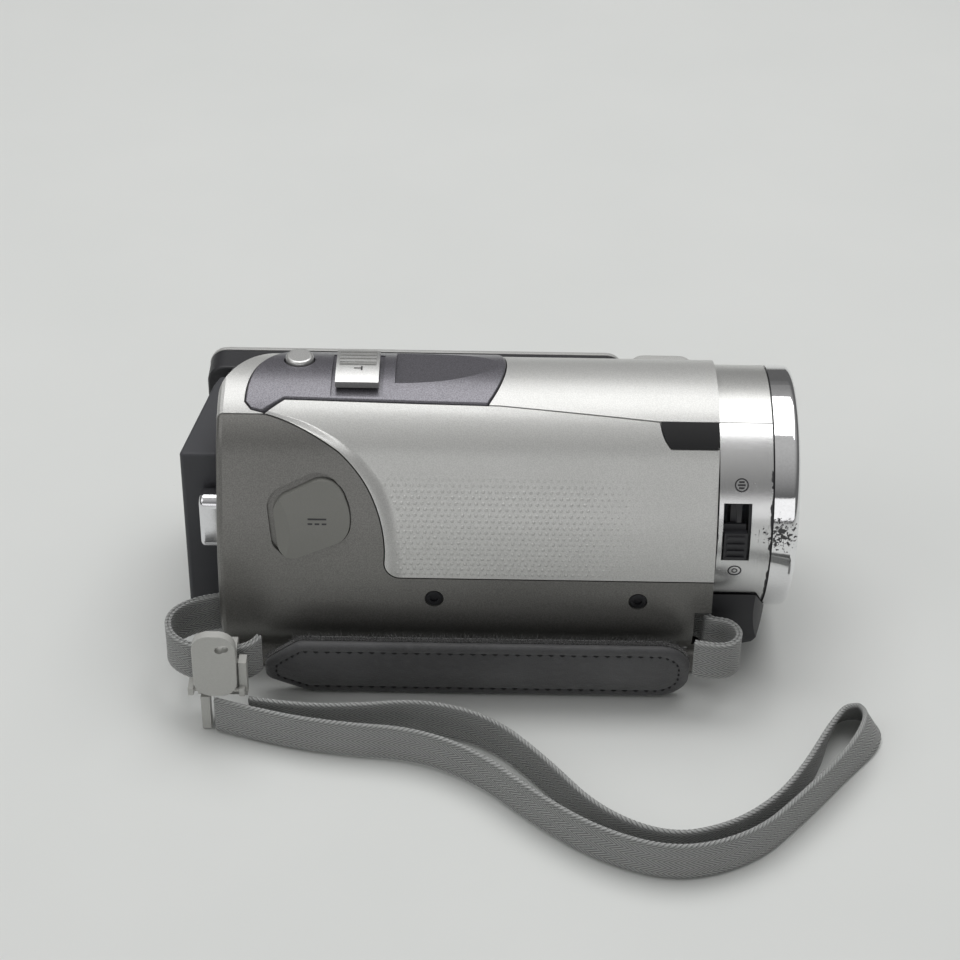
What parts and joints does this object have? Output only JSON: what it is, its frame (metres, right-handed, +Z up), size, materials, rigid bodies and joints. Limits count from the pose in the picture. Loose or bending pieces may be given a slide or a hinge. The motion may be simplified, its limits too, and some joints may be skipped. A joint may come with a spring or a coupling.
{
  "type": "camcorder",
  "caption": "Hand-held camcorder with a fold-out screen, ringed zoom lens, padded hand strap and a loose wrist strap.",
  "frame": {"origin": "mouth of the tripod socket, on the flat base", "axes": "+X the way the lens looks, +Y to the screen side, +Z up"},
  "size_m": [0.1321, 0.1006, 0.0565],
  "materials": {
    "silver_paint": "satin metallic paint",
    "dark_paint": "satin dark metallic paint",
    "panel_paint": "gloss purple-grey metallic",
    "black_gloss": "gloss black",
    "black_plastic": "fine matt",
    "chrome": "polished chrome plate",
    "button_silver": "satin silver",
    "clear_glass": "coated optical glass",
    "screen_glass": "gloss black screen",
    "steel": "satin",
    "circuit": "solder mask",
    "contact_metal": "plated",
    "grey_cover": "satin grey",
    "buckle_grey": "satin light grey",
    "pad_leather": "grained",
    "pad_fuzz": "fuzzy",
    "webbing": "herringbone weave"
  },
  "bodies": {
    "case": {"top_cover": "silver_paint", "grip_cover": "silver_paint", "hinge_cover": "silver_paint", "lens_hood_upper": "silver_paint", "lens_hood_lower": "silver_paint", "side_cover": "dark_paint", "control_panel": "panel_paint", "accent_window": "black_gloss", "bay_wall": "black_plastic", "base_plate": "black_plastic", "rear_frame": "black_plastic", "front_frame": "black_plastic", "chin": "black_plastic", "front_bezel": "black_plastic", "ring_seal": "black_plastic", "blade_carrier": "black_plastic", "lens_barrel": "black_plastic", "card_holder": "black_plastic", "chrome_ring": "chrome", "front_element": "clear_glass", "case_screws": "steel", "strap_bars": "steel", "hinge_pin": "steel", "tripod_bush": "steel", "chassis": "steel", "zoom_motor": "steel", "speaker": "steel", "main_board": "circuit", "sensor_board": "circuit", "memory_card": "circuit", "battery_contacts": "contact_metal", "dc_jack": "contact_metal", "buckle_frame": "buckle_grey", "hand_pad": "pad_leather", "pad_lining": "pad_fuzz", "front_strap": "webbing", "rear_strap": "webbing", "wrist_strap": "webbing"},
    "screen": {"lcd_cover": "silver_paint", "lcd_frame": "black_plastic", "lcd_glass": "screen_glass", "lcd_module": "circuit", "hinge_arm": "steel"},
    "zoom_rocker": {"zoom_lever": "button_silver"},
    "snapshot_key": {"snapshot_button": "button_silver"},
    "record_key": {"record_button": "chrome"},
    "mode_key": {"mode_button": "black_plastic"},
    "power_key": {"power_button": "black_plastic"},
    "lens_knob": {"lens_switch": "black_plastic"},
    "upper_blade": {"cover_blade_upper": "steel"},
    "lower_blade": {"cover_blade_lower": "steel"},
    "zoom_carriage": {"zoom_group": "clear_glass"},
    "focus_carriage": {"focus_group": "clear_glass"},
    "dc_flap": {"dc_cover": "grey_cover"},
    "card_flap": {"card_door": "black_plastic"},
    "battery_pack": {"battery": "black_plastic"},
    "latch": {"battery_latch": "black_plastic"},
    "buckle_flap": {"buckle_lever": "buckle_grey"}
  },
  "joints": [
    {"name": "screen_swing", "type": "hinge", "parent": "case", "child": "screen", "pos_m": [0.0303, 0.0229, 0.023], "axis": [0, 0, -1], "range_deg": [0, 90]},
    {"name": "zoom_rock", "type": "hinge", "parent": "case", "child": "zoom_rocker", "pos_m": [-0.0226, 0, 0.0295], "axis": [1, 0, 0], "range_deg": [-4, 4], "stiffness_Nm_per_rad": 0.4},
    {"name": "snapshot_press", "type": "slide", "parent": "case", "child": "snapshot_key", "axis": [0, 0, -1], "range_m": [0, 0.0006], "stiffness_N_per_m": 400},
    {"name": "record_press", "type": "slide", "parent": "case", "child": "record_key", "axis": [1, 0, 0], "range_m": [0, 0.0006], "stiffness_N_per_m": 400},
    {"name": "mode_press", "type": "slide", "parent": "case", "child": "mode_key", "axis": [0, -1, 0], "range_m": [0, 0.0004], "stiffness_N_per_m": 400},
    {"name": "power_press", "type": "slide", "parent": "case", "child": "power_key", "axis": [0, -1, 0], "range_m": [0, 0.0004], "stiffness_N_per_m": 400},
    {"name": "lens_switch_turn", "type": "hinge", "parent": "case", "child": "lens_knob", "pos_m": [0.0466, 0, 0.0295], "axis": [-1, 0, 0], "range_deg": [0, 13]},
    {"name": "upper_blade_turn", "type": "hinge", "parent": "case", "child": "upper_blade", "pos_m": [0.047, 0.0185, 0.0295], "axis": [1, 0, 0], "range_deg": [0, 33.1]},
    {"name": "lower_blade_turn", "type": "hinge", "parent": "case", "child": "lower_blade", "pos_m": [0.048, 0.0185, 0.0295], "axis": [-1, 0, 0], "range_deg": [0, 33.1]},
    {"name": "zoom_run", "type": "slide", "parent": "case", "child": "zoom_carriage", "axis": [1, 0, 0], "range_m": [-0.004, 0.01]},
    {"name": "focus_run", "type": "slide", "parent": "case", "child": "focus_carriage", "axis": [1, 0, 0], "range_m": [-0.004, 0.0015]},
    {"name": "dc_cover_open", "type": "hinge", "parent": "case", "child": "dc_flap", "pos_m": [-0.0236, -0.0212, 0.0352], "axis": [0, 0.3069, 0.9517], "range_deg": [0, 105]},
    {"name": "card_door_open", "type": "hinge", "parent": "case", "child": "card_flap", "pos_m": [-0.021, 0.0112, 0.0008], "axis": [1, 0, 0], "range_deg": [0, 95]},
    {"name": "battery_slide", "type": "slide", "parent": "case", "child": "battery_pack", "axis": [0, 0, 1], "range_m": [0, 0.04]},
    {"name": "latch_slide", "type": "slide", "parent": "case", "child": "latch", "axis": [0, 1, 0], "range_m": [0, 0.0025], "stiffness_N_per_m": 100},
    {"name": "buckle_flip", "type": "hinge", "parent": "case", "child": "buckle_flap", "pos_m": [-0.0466, -0.03875, 0.0098], "axis": [1, 0, 0], "range_deg": [0, 75]}
  ],
  "couplings": [
    {"joint": "upper_blade_turn", "follows": "lens_switch_turn", "ratio": 2.5385},
    {"joint": "lower_blade_turn", "follows": "lens_switch_turn", "ratio": 2.5385}
  ]
}
